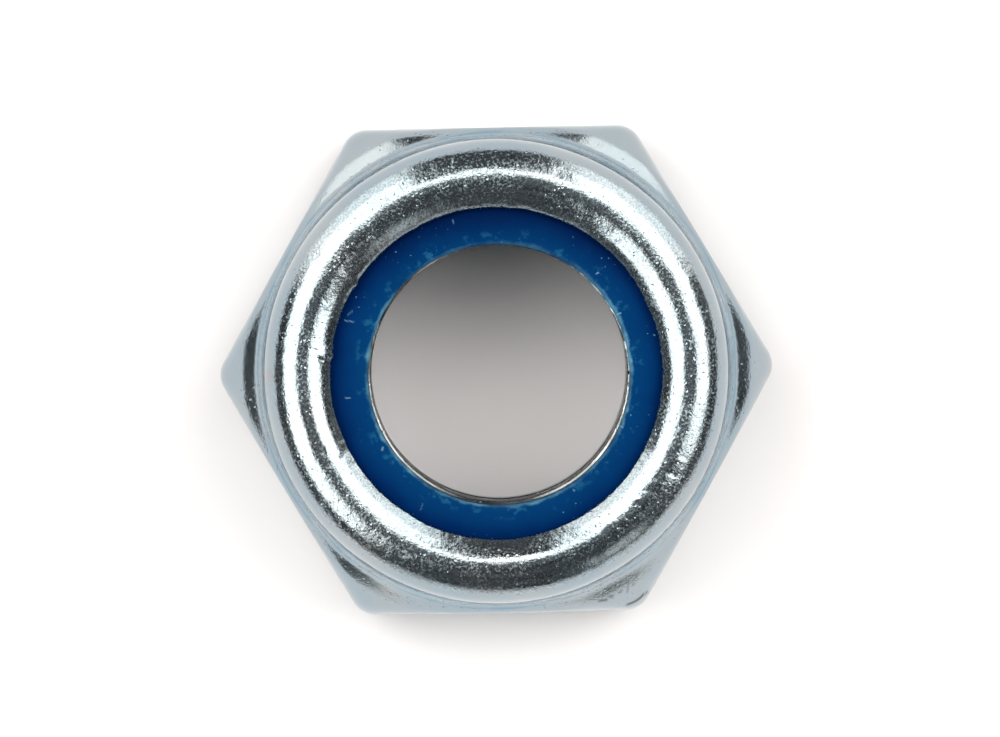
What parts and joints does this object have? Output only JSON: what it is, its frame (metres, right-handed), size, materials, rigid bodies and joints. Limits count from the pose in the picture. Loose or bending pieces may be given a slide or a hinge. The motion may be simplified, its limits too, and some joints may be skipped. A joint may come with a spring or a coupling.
{
  "type": "nylon insert lock nut",
  "caption": "Low hexagon lock nut: zinc plated steel body with chamfered corners and a round collar whose rim is rolled in over a blue nylon locking ring.",
  "frame": {"origin": "centre of the bearing face, on the thread's axis", "axes": "+Z along the thread's axis from the bearing face towards the nylon ring, +X through one upright corner of the hexagon, +Y square to one of its flats"},
  "size_m": [0.0148, 0.013, 0.008],
  "materials": {
    "zinc_plated_steel": "bright zinc plate with a pale blue passivation, finely pitted on the rolled rim",
    "blue_nylon": "deep blue polyamide, satin, scuffed pale along the edge of its bore"
  },
  "bodies": {
    "root": {"nut_body": "zinc_plated_steel", "nylon_insert": "blue_nylon"}
  },
  "joints": []
}
